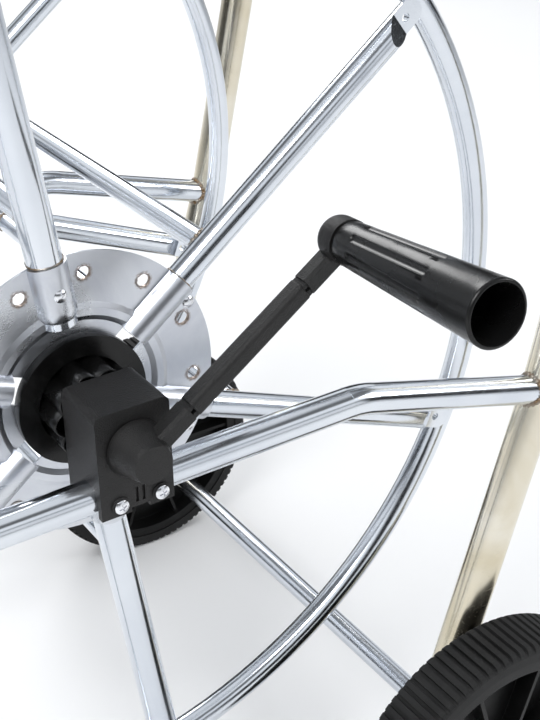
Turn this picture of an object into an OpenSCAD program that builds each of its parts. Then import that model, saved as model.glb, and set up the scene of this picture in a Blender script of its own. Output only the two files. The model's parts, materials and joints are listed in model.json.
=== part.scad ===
// Garden hose reel cart: a welded tube frame on two wheels and a front foot,
// a spoked reel turned by a hand crank, and swivelling water fittings.
// +X points to the push handle, -Y to the crank side and +Z up.
// The origin is on the floor under the middle of the cart's overall box.
// Sub-parts are drawn about the reel axis, with y = 0 in the crank-side disc,
// and at_reel() moves them into the part's frame.

/* [Frame] */
// Height of the reel axis above the floor
reel_height = 434; // [400:1:520]
// Outside diameter of the side tubes and of the front foot
side_d = 19; // [16:0.5:23]
// Wall thickness of every steel tube
tube_wall = 1.5; // [1:0.1:2]
// Gap from the crank-side disc to the near side tube's axis
near_gap = 49; // [47:0.5:60]
// Gap from the rear disc to the far side tube's axis
far_gap = 26; // [25:0.5:36]
// Drop of the side tubes below the reel axis
side_drop = 30; // [29:0.5:36]
// Slope of the side tubes at the bearing blocks, in degrees
side_slope = 0.87; // [0:0.01:3]
// Distance from the reel axis back to the side tubes' rear bend
rear_bend_reach = 151; // [120:1:180]
// Fall of the side tubes behind the rear bend, in degrees
rear_fall = 15.15; // [5:0.05:20]
// Distance from the reel axis forward to the side tubes' front knee
knee_reach = 240; // [200:1:280]
// Distance from the reel axis forward to the front foot
foot_reach = 330; // [300:1:390]
// Bend radius of the side tubes at their axis
bend_r = 60; // [40:1:70]

/* [Uprights and handle] */
// Outside diameter of the uprights
upright_d = 25.4; // [24:0.1:30]
// Distance from the reel axis back to the welded tee on the uprights
tee_reach = 299.3; // [270:0.1:350]
// Lean of the uprights below the tee, in degrees from level
lower_lean = 73.46; // [68:0.01:80]
// Lean of the uprights above the tee, in degrees from level
upper_lean = 78; // [74:0.5:84]
// Length of the uprights above the tee
upright_rise = 230; // [180:1:300]
// Distance along the uprights from the tee to the push bar
handle_rise = 580; // [480:1:700]
// Bend radius of the push bar at its axis
handle_bend_r = 75; // [50:1:90]
// Length of the soft sleeve on the push bar
sleeve_len = 200; // [120:5:240]
// Outside diameter of the soft sleeve
sleeve_d = 31; // [28:0.5:36]

/* [Reel] */
// Distance between the two reel discs
reel_width = 340; // [280:1:410]
// Radius of the outer rims at the tube axis
rim_r = 290; // [240:1:350]
// Outside diameter of the rim tube
rim_d = 16; // [13:0.5:18]
// Outside diameter of the two main spokes on each side
main_spoke_d = 19; // [17:0.5:20]
// Outside diameter of the other four spokes on each side
thin_spoke_d = 16; // [13:0.5:17]
// Angle of the first main spoke on the crank side, in degrees
spoke_angle = 98.8; // [90:0.1:110]
// Radius of the ring of drum bars
drum_r = 106; // [96:1:130]
// Outside diameter of the drum bars
drum_bar_d = 13; // [10:0.5:15]
// Radius of the pressed reel discs
disc_r = 82.4; // [78:0.1:90]
// Sheet thickness of the reel discs
disc_t = 1.5; // [1:0.1:2]
// Radius of the circle of holes in each disc
hole_circle_r = 70.7; // [68:0.1:74]
// Diameter of the holes in each disc
disc_hole_d = 7.2; // [5:0.1:9]

/* [Hub and bearing blocks] */
// Radius of the hub journals
journal_r = 11; // [9:0.1:12]
// Radius of the hub flanges
flange_r = 37.3; // [34:0.1:39]
// Thickness of the hub flanges
flange_t = 6.2; // [5:0.1:7]
// Width of the bearing blocks
block_w = 42.1; // [40:0.1:48]
// Height of the bearing blocks above the reel axis
block_top = 23.4; // [20:0.1:30]
// Height of the blocks' legs below the reel axis
block_leg = 38; // [37:0.1:44]
// Corner radius of the blocks' top edges
block_corner = 4; // [2:0.5:6]
// Block wall in front of the side tube
block_wall = 3.9; // [3.5:0.1:6]

/* [Crank] */
// Angle of the crank arm above level, in degrees
arm_angle = 35.65; // [0:0.01:90]
// Width of the square crank arm
arm_w = 10.9; // [10:0.1:13]
// Edge chamfer of the crank arm
arm_chamfer = 1.8; // [0.5:0.1:2.4]
// Distance from the reel axis to the grip's pivot
crank_throw = 146.8; // [130:0.1:180]
// Sideways offset of the grip's pivot from the arm's centre line
elbow_offset = 5.15; // [0:0.05:5.5]
// Large radius of the crank boss
boss_base_r = 16.1; // [15:0.1:18]
// Small radius of the crank boss
boss_nose_r = 10.5; // [9:0.1:13]
// Height of the crank boss
boss_h = 19.4; // [18:0.1:24]

/* [Grip] */
// Distance from the arm to the mouth of the grip
grip_reach = 125.3; // [100:0.1:150]
// Radius of the grip's collar
grip_root_r = 11.7; // [11.2:0.1:14]
// Outside radius of the grip's mouth
grip_mouth_r = 16.4; // [15.5:0.1:19]
// Wall thickness of the grip's mouth
grip_wall = 1.8; // [1.5:0.1:2.5]
// Lift of the grip's axis above level, in degrees
grip_lift = 5.48; // [0:0.01:8]
// Turn of the grip's axis towards the front foot, in degrees
grip_toe = 4.23; // [0:0.01:8]
// Number of flutes round the grip
flute_count = 8; // [6:1:10]
// Radius of the grip's spindle
spindle_r = 5.5; // [4.5:0.1:6]

/* [Wheels] */
// Outside radius of the tyres
tyre_r = 106.8; // [90:0.1:128]
// Width of the tyres
tyre_w = 40; // [34:1:48]
// Radial thickness of the tyres
tyre_t = 12; // [10:0.5:16]
// Gap from a side tube's axis to the near face of its tyre
wheel_gap = 19.6; // [19:0.1:26]
// Diameter of the axle rod
axle_rod_d = 10; // [8:0.5:11]
// Outside diameter of the axle's cross tube
axle_tube_d = 16; // [15:0.5:20]
// Number of ribs inside each wheel
wheel_ribs = 10; // [6:1:12]

/* [Water fittings] */
// Radius of the quick-connector nipples
nipple_r = 8; // [7:0.1:8.5]
// Length of the plain stretch of a nipple
nipple_len = 12; // [10:0.5:16]
// Radius of the water passages
water_r = 5; // [3:0.1:5.5]

/* [Fits] */
// Radial clearance of every running fit
running_gap = 0.05; // [0.02:0.01:0.1]
// Radial clearance where one piece slips over another
slip_gap = 0.1; // [0.05:0.05:0.2]
// Clearance between faces that turn past each other
side_gap = 0.5; // [0.4:0.1:0.8]

/* [Hidden] */
$fn = 64;

near_y = -near_gap;
far_y = reel_width + far_gap;

// Side plane outline: points are [x, z] about the reel axis.
function on_slope(x) = [x, x * tan(side_slope) - side_drop];
function below(p, angle, drop) = [p[0] - drop / tan(angle), p[1] - drop];
foot_cap_r = side_d / 2 + 3;
foot_axis_lift = foot_cap_r - 1;
foot_pos = [-foot_reach, foot_axis_lift - reel_height];
knee_pos = on_slope(-knee_reach);
rear_bend_pos = on_slope(rear_bend_reach);
tee_pos = [tee_reach, rear_bend_pos[1] - (tee_reach - rear_bend_reach) * tan(rear_fall)];
axle_z = tyre_r - reel_height;
upright_at_axle = below(tee_pos, lower_lean, tee_pos[1] - axle_z);
axle_bite = 0.5;
axle_pos = [upright_at_axle[0]
    + (upright_d / 2 + axle_tube_d / 2 - axle_bite) / sin(lower_lean), axle_z];
upright_tail = 24;
upright_foot = below(upright_at_axle, lower_lean, upright_tail);
upright_head = tee_pos + upright_rise * [cos(upper_lean), sin(upper_lean)];
push_bar_pos = tee_pos + handle_rise * [cos(upper_lean), sin(upper_lean)];
upright_bend_r = 300;
handle_d = upright_d - 2 * tube_wall - 2 * slip_gap;
handle_insert = 60;
handle_bolt_d = 6;
bend_swell = 0.1;
bend_lap = 0.5;

// Wheels and axle, along y, for the near side.
axle_tube_end = wheel_gap - 4.5;
washer_t = 1.5;
washer_gap = 0.4;
wheel_hub_in = axle_tube_end + washer_t + 2 * washer_gap;
wheel_hub_out = wheel_gap + tyre_w + 1;
wheel_hub_r = 17;
axle_cap_t = 7;
axle_cap_r = 13;
axle_rod_end = wheel_hub_out + washer_gap + 3.5;
wheel_rim_r = tyre_r - tyre_t;

// Reel side, along y, for the crank side.
disc_face = disc_t / 2;
flange_face = disc_face + flange_t;
spoke_plane = 0.4;
rim_plane = 12.7;
spoke_start = 46;
socket_start = 43;
tab_t = 4.6;
tab_back = rim_plane - rim_d / 2 + 0.8;
tab_end = rim_r - 4;
tab_start = tab_end - 17;
tab_taper = 13;
vent_d = 5;
spoke_turns = [0:60:300];
rear_turn = 60;
rivet_d = 4;
rivet_head_r = 3.6;
rivet_head_t = 1.6;
rivet_sink = 0.25;
hub_hole_r = 20;
hub_recess_r = 26;
hub_recess_floor = 2;
hub_screw_r = 30;
hub_screw_d = 3;
neck_r = 17;
neck_scallops = 8;

// Front foot: reach beyond the side tubes, and its rubber caps.
foot_overhang = 32;
cap_len = 24;

// Bearing blocks, near side: y of the faces.
side_reach = side_d / 2;
block_front = near_gap + side_reach + block_wall;
block_back = near_gap - 23;
far_block_back = far_gap - 17;
screw_x = 11.75;
screw_shift = 1.45;
screw_drop = side_drop + 1.6;
screw_d = 4.2;
screw_head_r = 4;
screw_pad_r = 5;
screw_pad_t = 0.8;
screw_reach = 7;

// Crank, y of the faces.
boss_back = block_front + 0.9;
boss_front = boss_back + boss_h;
arm_back = boss_back + 3.7;
arm_mid = arm_back + arm_w / 2;
neck_gap = 2.6;
neck_w = arm_w - 2.4;
tenon_w = arm_w - 3.8;
tenon_t = arm_w - 4.2;
tenon_len = 12;
neck_slot_w = 2.4;
root_bar_end = 31;
arm_start = root_bar_end + neck_gap;
elbow_bar_start = crank_throw - 29;
arm_end = elbow_bar_start - neck_gap;
drive_w = 13;
drive_len = 12;
crank_screw_d = 4;
crank_screw_head_r = 4;
crank_screw_seat = boss_back - 13;
crank_screw_tip = boss_back + drive_len + 5;

// Grip, distances from the arm along the grip's axis.
elbow_r = 12.1;
elbow_back = 9;
elbow_front = 7.5;
elbow_round = 7;
grip_start = elbow_front + 1.5;
grip_bore_end = grip_reach - 40;
spindle_end = grip_bore_end + side_gap;
grip_cup_r = spindle_r + 4;
grip_mouth_in = grip_mouth_r - grip_wall;
grip_axis_y = arm_back + 8.5;
flute_r = 3.2;
flute_start = grip_start + 15;
flute_end = grip_reach - 40;

// Water fittings, along y beyond the rear disc.
hub_spigot_r = 9;
spigot_start = far_gap + side_reach + block_wall + 1;
spigot_len = 16;
elbow_body_r = 13;
elbow_body_start = spigot_start + side_gap;
elbow_body_len = 30;
elbow_leg_y = elbow_body_start + elbow_body_len - 11;
inner_spigot_end = 22;
outlet_len = 28;
outlet_leg_y = inner_spigot_end + 11;
nipple_root = 20;

// The overall box, for placing the origin at its foot.
near_extent = -grip_axis_y - grip_reach * cos(grip_lift) * cos(grip_toe)
    - grip_mouth_r * sin(acos(cos(grip_lift) * cos(grip_toe)));
far_extent = far_y + wheel_hub_out + washer_gap + axle_cap_t;
centre_x = (push_bar_pos[0] + sleeve_d / 2 - foot_reach - foot_cap_r) / 2;
centre_y = (near_extent + far_extent) / 2;

// ---- placing ----

module at_reel() {
    translate([-centre_x, -centre_y, reel_height]) children();
}

// Local x and y become the part's x and z, at a given y.
module in_side_plane(y) {
    translate([0, y, 0]) rotate([90, 0, 0]) children();
}

// Local z becomes -y: away from the crank side's disc.
module outward() {
    rotate([90, 0, 0]) children();
}

// The far side of the frame, as a mirror image of the near side.
module far_side() {
    translate([0, near_y + far_y, 0]) mirror([0, 1, 0]) children();
}

// The rear side of the reel, as a mirror image of the crank side.
module rear_reel_side() {
    translate([0, reel_width, 0]) mirror([0, 1, 0]) rotate([0, -rear_turn, 0]) children();
}

// Local x becomes the radial direction at an angle round the reel axis.
module at_angle(angle) {
    rotate([0, -angle, 0]) children();
}

// Local x, y and z become y, the uprights' upper direction and their normal.
module in_handle_plane() {
    translate([tee_pos[0], 0, tee_pos[1]]) rotate([0, 90 - upper_lean, 0])
        rotate([90, 0, 90]) children();
}

// Local z becomes the grip's axis, from the arm to the mouth.
module at_grip() {
    at_angle(arm_angle) translate([sqrt(crank_throw * crank_throw - elbow_offset * elbow_offset),
        -grip_axis_y, elbow_offset]) at_angle(-arm_angle) rotate([90 - grip_lift, 0, -grip_toe])
        children();
}

// ---- tube helpers ----

function heading(a, b) = atan2(b[1] - a[1], b[0] - a[0]);
function wrap(a) = a > 180 ? a - 360 : a < -180 ? a + 360 : a;
function turn_at(p, i) = wrap(heading(p[i], p[i + 1]) - heading(p[i - 1], p[i]));
function trim_at(p, r, i) = i == 0 || i == len(p) - 1 ? 0 : r * tan(abs(turn_at(p, i)) / 2);

// A round bar along flat points, with arcs of radius r at the inner points.
// The straights run a little way into the bends, which are a hair thicker.
module bent_bar(points, r, d) {
    last = len(points) - 1;
    for (i = [0:last - 1]) {
        cut_start = trim_at(points, r, i) - (i == 0 ? 0 : bend_lap);
        cut_end = trim_at(points, r, i + 1) - (i == last - 1 ? 0 : bend_lap);
        span = norm(points[i + 1] - points[i]) - cut_start - cut_end;
        translate(points[i]) rotate([0, 0, heading(points[i], points[i + 1])])
            translate([cut_start, 0, 0]) rotate([0, 90, 0]) cylinder(d = d, h = span);
    }
    for (i = [1:1:last - 1]) {
        turn = turn_at(points, i);
        side = sign(turn);
        way = heading(points[i - 1], points[i]);
        back = trim_at(points, r, i);
        translate(points[i] - back * [cos(way), sin(way)] + side * r * [-sin(way), cos(way)])
            rotate([0, 0, way - side * 90 + min(turn, 0)])
            rotate_extrude(angle = abs(turn)) translate([r, 0]) circle(d = d + bend_swell);
    }
}

// A hollow tube along flat points.
module bent_tube(points, r, d) {
    difference() {
        bent_bar(points, r, d);
        bent_bar(points, r, d - 2 * tube_wall);
    }
}

// A straight bar along y.
module y_bar(d, y0, y1, fn = 64) {
    translate([0, y0, 0]) rotate([-90, 0, 0]) cylinder(d = d, h = y1 - y0, $fn = fn);
}

// ---- frame ----

module side_outline() {
    bent_tube([foot_pos, knee_pos, rear_bend_pos, tee_pos], bend_r, side_d);
}

// Steel side tube: front leg, bearing seat, rear bend and tee.
module side_tube() {
    color("lightsteelblue") difference() {
        in_side_plane(near_y) side_outline();
        in_side_plane(near_y) upright_core();
        foot_core();
        for (side = [-1, 1]) at_angle(side_slope)
            translate([side * screw_x + screw_shift, near_y, -screw_drop])
            outward() cylinder(d = screw_d, h = side_d);
    }
}

module upright_core() {
    bent_bar([upright_foot, tee_pos, upright_head], upright_bend_r, upright_d);
}

module side_tube_near() {
    at_reel() side_tube();
}

module side_tube_far() {
    at_reel() far_side() side_tube();
}

module foot_core() {
    translate([foot_pos[0], 0, foot_pos[1]])
        y_bar(side_d, near_y - foot_overhang, far_y + foot_overhang);
}

module front_foot() {
    at_reel() color("lightsteelblue") difference() {
        foot_core();
        translate([foot_pos[0], 0, foot_pos[1]])
            y_bar(side_d - 2 * tube_wall, near_y - foot_overhang, far_y + foot_overhang);
    }
}

// Rubber cap over one end of the foot, with a flat sole.
module foot_cap() {
    cap_end = near_y - foot_overhang - 3;
    translate([foot_pos[0], 0, foot_pos[1]]) difference() {
        y_bar(2 * foot_cap_r, cap_end, cap_end + cap_len);
        y_bar(side_d, near_y - foot_overhang, cap_end + cap_len + 1);
        translate([-foot_cap_r, cap_end - 1, -foot_axis_lift - 5])
            cube([2 * foot_cap_r, cap_len + 2, 5]);
    }
}

module foot_caps() {
    color("dimgray") at_reel() {
        foot_cap();
        far_side() foot_cap();
    }
}

module upright() {
    color("lightgoldenrodyellow") difference() {
        in_side_plane(near_y)
            bent_tube([upright_foot, tee_pos, upright_head], upright_bend_r, upright_d);
        handle_bolt_holes();
    }
}

module handle_bolt_holes() {
    in_handle_plane() translate([0, upright_rise - handle_insert / 2, 0])
        rotate([0, 90, 0]) cylinder(d = handle_bolt_d, h = 4 * frame_span(), center = true);
}

function frame_span() = far_y - near_y;

module upright_near() {
    at_reel() upright();
}

module upright_far() {
    at_reel() far_side() upright();
}

// Plastic plug in the lower end of one upright.
module upright_cap() {
    way = lower_lean - 180;
    translate([upright_foot[0], near_y, upright_foot[1]]) at_angle(way) {
        rotate([0, 90, 0]) cylinder(d = upright_d, h = 3);
        rotate([0, -90, 0]) cylinder(d = upright_d - 2 * tube_wall, h = 15);
    }
}

module upright_caps() {
    color("black") at_reel() {
        upright_cap();
        far_side() upright_cap();
    }
}

module push_handle() {
    low = upright_rise - handle_insert;
    at_reel() color("lightsteelblue") difference() {
        in_handle_plane() bent_tube([[near_y, low], [near_y, handle_rise],
            [far_y, handle_rise], [far_y, low]], handle_bend_r, handle_d);
        handle_bolt_holes();
    }
}

module handle_sleeve() {
    at_reel() color("black") in_handle_plane()
        translate([(near_y + far_y) / 2, handle_rise, 0]) rotate([0, 90, 0]) difference() {
            cylinder(d = sleeve_d, h = sleeve_len, center = true);
            cylinder(d = handle_d, h = sleeve_len + 2, center = true);
        }
}

// Bolt, nut and heads that hold one leg of the push handle.
module handle_bolt() {
    grip_half = upright_d / 2;
    in_handle_plane() translate([near_y, upright_rise - handle_insert / 2, 0]) {
        rotate([0, 90, 0]) cylinder(d = handle_bolt_d, h = upright_d + 12, center = true);
        translate([-grip_half - 4, 0, 0]) rotate([0, 90, 0]) cylinder(r = 5.5, h = 4);
        translate([grip_half, 0, 0]) rotate([0, 90, 0]) cylinder(r = 5.8, h = 5, $fn = 6);
    }
}

module handle_bolts() {
    color("silver") at_reel() {
        handle_bolt();
        far_side() handle_bolt();
    }
}

// ---- axle and wheels ----

module at_axle() {
    translate([axle_pos[0], 0, axle_pos[1]]) children();
}

module axle_tube() {
    at_reel() color("lightsteelblue") difference() {
        at_axle() y_bar(axle_tube_d, near_y - axle_tube_end, far_y + axle_tube_end);
        at_axle() y_bar(axle_rod_d + 2 * slip_gap, near_y - axle_tube_end, far_y + axle_tube_end);
        in_side_plane(near_y) upright_core();
        in_side_plane(far_y) upright_core();
    }
}

module axle_rod() {
    at_reel() color("silver") at_axle()
        y_bar(axle_rod_d, near_y - axle_rod_end, far_y + axle_rod_end);
}

// Ring round the axle rod, from y0 to y1 outward of the near side tube.
module axle_ring(r, y0, y1) {
    at_axle() difference() {
        y_bar(2 * r, near_y - y1, near_y - y0);
        y_bar(axle_rod_d + 2 * slip_gap, near_y - y1 - 1, near_y - y0 + 1);
    }
}

module axle_washers() {
    inner = axle_tube_end + washer_gap;
    color("silver") at_reel() {
        axle_ring(10, inner, inner + washer_t);
        far_side() axle_ring(10, inner, inner + washer_t);
    }
}

// Push-on cap over one end of the axle rod.
module axle_cap() {
    inner = near_y - wheel_hub_out - washer_gap;
    at_axle() difference() {
        union() {
            y_bar(2 * axle_cap_r, inner - 2.5, inner);
            y_bar(1.5 * axle_cap_r, inner - axle_cap_t, inner - 2.5);
        }
        y_bar(axle_rod_d, inner - 3.5, inner + 1);
    }
}

module axle_caps() {
    color("black") at_reel() {
        axle_cap();
        far_side() axle_cap();
    }
}

// Moulded wheel: hub, web, rim and ribs.
module wheel() {
    mid = near_y - wheel_gap - tyre_w / 2;
    rim_half = tyre_w / 2 - 1;
    rim_in = wheel_rim_r - 9;
    at_axle() difference() {
        union() {
            y_bar(2 * wheel_hub_r, near_y - wheel_hub_out, near_y - wheel_hub_in);
            y_bar(2 * wheel_rim_r, mid - 3, mid + 3);
            difference() {
                y_bar(2 * wheel_rim_r, mid - rim_half, mid + rim_half);
                y_bar(2 * rim_in, mid - rim_half - 1, mid + rim_half + 1);
            }
            for (i = [0:wheel_ribs - 1]) at_angle(i * 360 / wheel_ribs)
                translate([wheel_hub_r - 2, mid - rim_half + 3, -1.5])
                cube([rim_in - wheel_hub_r + 4, 2 * rim_half - 6, 3]);
        }
        y_bar(axle_rod_d + 2 * running_gap, near_y - wheel_hub_out - 1, near_y - wheel_hub_in + 1);
    }
}

// Tyre band with rounded shoulders.
module tyre() {
    mid = near_y - wheel_gap - tyre_w / 2;
    shoulder = 5;
    at_axle() translate([0, mid, 0]) rotate([90, 0, 0]) rotate_extrude() difference() {
        union() {
            translate([wheel_rim_r, -tyre_w / 2]) square([tyre_t - shoulder, tyre_w]);
            translate([wheel_rim_r, shoulder - tyre_w / 2])
                square([tyre_t, tyre_w - 2 * shoulder]);
            for (side = [-1, 1]) translate([tyre_r - shoulder, side * (tyre_w / 2 - shoulder)])
                circle(r = shoulder);
        }
    }
}

module wheel_near() {
    color("black") at_reel() wheel();
}

module wheel_far() {
    color("black") at_reel() far_side() wheel();
}

module tyre_near() {
    color("dimgray") at_reel() tyre();
}

module tyre_far() {
    color("dimgray") at_reel() far_side() tyre();
}

// ---- bearing blocks ----

// Block over the side tube, with its faces at given distances outward of y = 0.
module block_body(back, tube_y) {
    front = tube_y + side_reach + block_wall;
    depth = front - back;
    half = block_w / 2;
    leg_cut = 2.5;
    inner_w = 2 * screw_x - 2 * screw_pad_r - 3;
    at_angle(side_slope) difference() {
        union() {
            translate([-half, -front, -block_leg])
                cube([block_w, depth, block_leg + block_top - block_corner]);
            translate([block_corner - half, -front, 0])
                cube([block_w - 2 * block_corner, depth, block_top]);
            for (side = [-1, 1])
                translate([side * (half - block_corner), -back, block_top - block_corner])
                outward() cylinder(r = block_corner, h = depth);
            for (side = [-1, 1])
                translate([side * screw_x + screw_shift, -front, -screw_drop])
                outward() cylinder(r = screw_pad_r, h = screw_pad_t);
        }
        translate([0, -back + 1, 0]) outward()
            cylinder(r = journal_r + running_gap, h = depth + 2);
        translate([-half - 1, -tube_y, -side_drop]) rotate([0, 90, 0])
            cylinder(d = side_d, h = block_w + 2);
        translate([-half - 1, -tube_y - side_reach, -block_leg - 1])
            cube([block_w + 2, side_d, block_leg + 1 - side_drop]);
        for (side = [-1, 1])
            translate([side * screw_x + screw_shift, -tube_y, -screw_drop])
            outward() cylinder(d = screw_d, h = side_reach + block_wall + 2);
        translate([screw_shift - inner_w / 2, -front - 1, -block_leg - 1])
            cube([inner_w, depth + 2, 1 + leg_cut]);
        for (side = [-1, 1]) translate([side * 1.9 + screw_shift - 0.8, -front - 1, -block_leg + 5])
            cube([1.6, 2.2, 9]);
    }
}

module bearing_block_near() {
    color("black") at_reel() block_body(block_back, near_gap);
}

module bearing_block_far() {
    color("black") at_reel() translate([0, reel_width, 0]) mirror([0, 1, 0])
        block_body(far_block_back, far_gap);
}

// Pan-head screw through the block into the tube, with a cross recess.
module block_screw(tube_y) {
    seat = tube_y + side_reach + block_wall + screw_pad_t;
    at_angle(side_slope) for (side = [-1, 1])
        translate([side * screw_x + screw_shift, -seat, -screw_drop]) outward() difference() {
            union() {
                translate([0, 0, -screw_reach]) cylinder(d = screw_d, h = screw_reach);
                intersection() {
                    cylinder(r = screw_head_r, h = 2.4);
                    translate([0, 0, -5.1]) sphere(r = 7.5);
                }
            }
            for (turn = [20, 110]) rotate([0, 0, turn]) translate([-2.2, -0.45, 1])
                cube([4.4, 0.9, 3]);
        }
}

module block_screws() {
    color("silver") at_reel() {
        block_screw(near_gap);
        translate([0, reel_width, 0]) mirror([0, 1, 0]) block_screw(far_gap);
    }
}

// ---- reel ----

function is_main(turn) = turn % 180 == 0;
function spoke_d_at(turn) = is_main(turn) ? main_spoke_d : thin_spoke_d;

// Solid outline of a spoke, used to cut seats for it.
module spoke_core(d, start) {
    translate([start, spoke_plane, 0]) rotate([0, 90, 0]) cylinder(d = d, h = rim_r - start);
}

module rim_core(d) {
    translate([0, rim_plane, 0]) rotate([90, 0, 0]) rotate_extrude($fn = 128)
        translate([rim_r, 0]) circle(d = d);
}

// Spoke tube, pressed flat at its outer end and welded to the rim.
module spoke(d) {
    difference() {
        intersection() {
            translate([spoke_start, spoke_plane, 0]) rotate([0, 90, 0])
                cylinder(d = d, h = tab_end - spoke_start);
            translate([0, 0, -d]) linear_extrude(2 * d) polygon([
                [spoke_start, spoke_plane - d / 2], [tab_start - tab_taper, spoke_plane - d / 2],
                [tab_start, tab_back - tab_t], [tab_end, tab_back - tab_t],
                [tab_end, tab_back], [tab_start, tab_back],
                [tab_start - tab_taper, spoke_plane + d / 2], [spoke_start, spoke_plane + d / 2]]);
            union() {
                translate([spoke_start, -d, -d]) cube([tab_end - spoke_start - d / 2, 2 * d, 2 * d]);
                translate([tab_end - d / 2, d, 0]) outward() cylinder(d = d, h = 2 * d);
            }
        }
        translate([spoke_start - 1, spoke_plane, 0]) rotate([0, 90, 0])
            cylinder(d = d - 2 * tube_wall, h = tab_start - tab_taper - 6 - spoke_start);
        translate([tab_end - 12, d, 0]) outward() cylinder(d = vent_d, h = 2 * d);
        rim_core(rim_d);
    }
}

module main_spokes() {
    color("lightsteelblue") for (turn = spoke_turns) if (is_main(turn))
        at_angle(spoke_angle + turn) spoke(main_spoke_d);
}

module thin_spokes() {
    color("lightsteelblue") for (turn = spoke_turns) if (!is_main(turn))
        at_angle(spoke_angle + turn) spoke(thin_spoke_d);
}

module main_spokes_front() {
    at_reel() main_spokes();
}

module main_spokes_rear() {
    at_reel() rear_reel_side() main_spokes();
}

module thin_spokes_front() {
    at_reel() thin_spokes();
}

module thin_spokes_rear() {
    at_reel() rear_reel_side() thin_spokes();
}

module rim() {
    color("lightsteelblue") difference() {
        rim_core(rim_d);
        rim_core(rim_d - 2 * tube_wall);
        at_angle(spoke_angle + 30) translate([rim_r - rim_d, rim_plane, 0])
            rotate([0, 90, 0]) cylinder(d = vent_d, h = rim_d);
    }
}

module rim_front() {
    at_reel() rim();
}

module rim_rear() {
    at_reel() rear_reel_side() rim();
}

// Bars that the hose is wound on, butted against the spokes of both sides.
module drum_bars() {
    at_reel() color("lightsteelblue") difference() {
        for (turn = spoke_turns) at_angle(spoke_angle + turn) translate([drum_r, 0, 0])
            difference() {
                y_bar(drum_bar_d, spoke_plane, reel_width - spoke_plane);
                y_bar(drum_bar_d - 2 * tube_wall, spoke_plane, reel_width - spoke_plane);
            }
        for (turn = spoke_turns) at_angle(spoke_angle + turn)
            spoke_core(spoke_d_at(turn), spoke_start);
        rear_reel_side() for (turn = spoke_turns) at_angle(spoke_angle + turn)
            spoke_core(spoke_d_at(turn), spoke_start);
    }
}

// Half-round pressing over one spoke; a main spoke's pressing has a domed inner end.
module socket_shell(d, domed) {
    start = domed ? spoke_start + d / 2 : socket_start;
    r = d / 2 + disc_t;
    translate([start, spoke_plane, 0]) rotate([0, 90, 0]) cylinder(r = r, h = disc_r - start);
    if (domed) translate([start, spoke_plane, 0]) sphere(r = r);
}

// Pressed sheet disc with a half-round socket for each spoke.
module reel_disc() {
    ridge_r = 49;
    color("silver") difference() {
        union() {
            y_bar(2 * disc_r, -disc_face, disc_face, 128);
            translate([0, -disc_face, 0]) rotate([90, 0, 0]) rotate_extrude($fn = 128)
                polygon([[ridge_r - 5, 0], [ridge_r - 2, 1.6], [ridge_r + 2, 1.6], [ridge_r + 5, 0]]);
            intersection() {
                for (turn = spoke_turns) at_angle(spoke_angle + turn)
                    socket_shell(spoke_d_at(turn), is_main(turn));
                y_bar(2 * disc_r, -disc_r, 0, 128);
            }
        }
        for (turn = spoke_turns) at_angle(spoke_angle + turn) {
            translate([spoke_start, spoke_plane, 0]) rotate([0, 90, 0])
                cylinder(d = spoke_d_at(turn), h = disc_r);
            if (!is_main(turn)) translate([socket_start - 8, spoke_plane, 0]) rotate([0, 90, 0])
                cylinder(d = spoke_d_at(turn), h = 14);
        }
        for (i = [0:11]) at_angle(spoke_angle + 15 + i * 30) translate([hole_circle_r, 5, 0])
            outward() cylinder(d = disc_hole_d, h = 10);
        translate([0, 5, 0]) outward() cylinder(r = hub_hole_r, h = 20);
        for (i = [0:2]) at_angle(40 + i * 120) translate([hub_screw_r, 5, 0]) outward()
            cylinder(d = hub_screw_d, h = 20);
        for (i = [0:5]) rivet_place(i) outward()
            cylinder(d = rivet_d, h = 2 * main_spoke_d, center = true);
        for (i = [0:5]) if (is_main(i * 60)) rivet_place(i) rivet_lift(i) outward()
            cylinder(r = rivet_head_r, h = rivet_head_t);
    }
}

// Rivets: through the tops of the main sockets, beside the other sockets.
module rivet_place(i) {
    turn = i * 60;
    main = is_main(turn);
    at_angle(spoke_angle + turn - (main ? 0 : 10.5))
        translate([main ? 66 : 78, 0, 0]) children();
}

module rivet_lift(i) {
    lift = is_main(i * 60) ? main_spoke_d / 2 + disc_t - spoke_plane - rivet_sink : disc_face;
    translate([0, -lift, 0]) children();
}

module rivets_one_side() {
    for (i = [0:5]) rivet_place(i) rivet_lift(i) outward() {
        intersection() {
            cylinder(r = rivet_head_r, h = rivet_head_t);
            translate([0, 0, -3.6]) sphere(r = 5.2);
        }
        translate([0, 0, rivet_sink - disc_t]) cylinder(d = rivet_d, h = disc_t - rivet_sink);
    }
}

module disc_rivets() {
    color("silver") at_reel() {
        rivets_one_side();
        rear_reel_side() rivets_one_side();
    }
}

module reel_disc_front() {
    at_reel() reel_disc();
}

module reel_disc_rear() {
    at_reel() rear_reel_side() reel_disc();
}

// ---- hubs ----

// Flange, scalloped neck and spigot shared by both hubs, the neck ending at neck_end.
module hub_flange(neck_end) {
    translate([0, -disc_face, 0]) outward() difference() {
        cylinder(r = flange_r, h = flange_t);
        translate([0, 0, hub_recess_floor]) cylinder(r = hub_recess_r, h = flange_t);
        for (i = [0:2]) rotate([0, 0, 40 + i * 120]) translate([hub_screw_r, 0, -1])
            cylinder(d = hub_screw_d, h = flange_t - 1);
    }
    translate([0, -disc_face - 1, 0]) outward() linear_extrude(neck_end - disc_face - 1)
        difference() {
            circle(r = neck_r);
            for (i = [0:neck_scallops - 1]) rotate((i + 0.5) * 360 / neck_scallops)
                translate([neck_r + 1.5, 0]) circle(r = 4);
        }
    translate([0, disc_face + disc_t, 0]) outward()
        cylinder(r = hub_hole_r - slip_gap, h = disc_t + 2);
}

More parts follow.
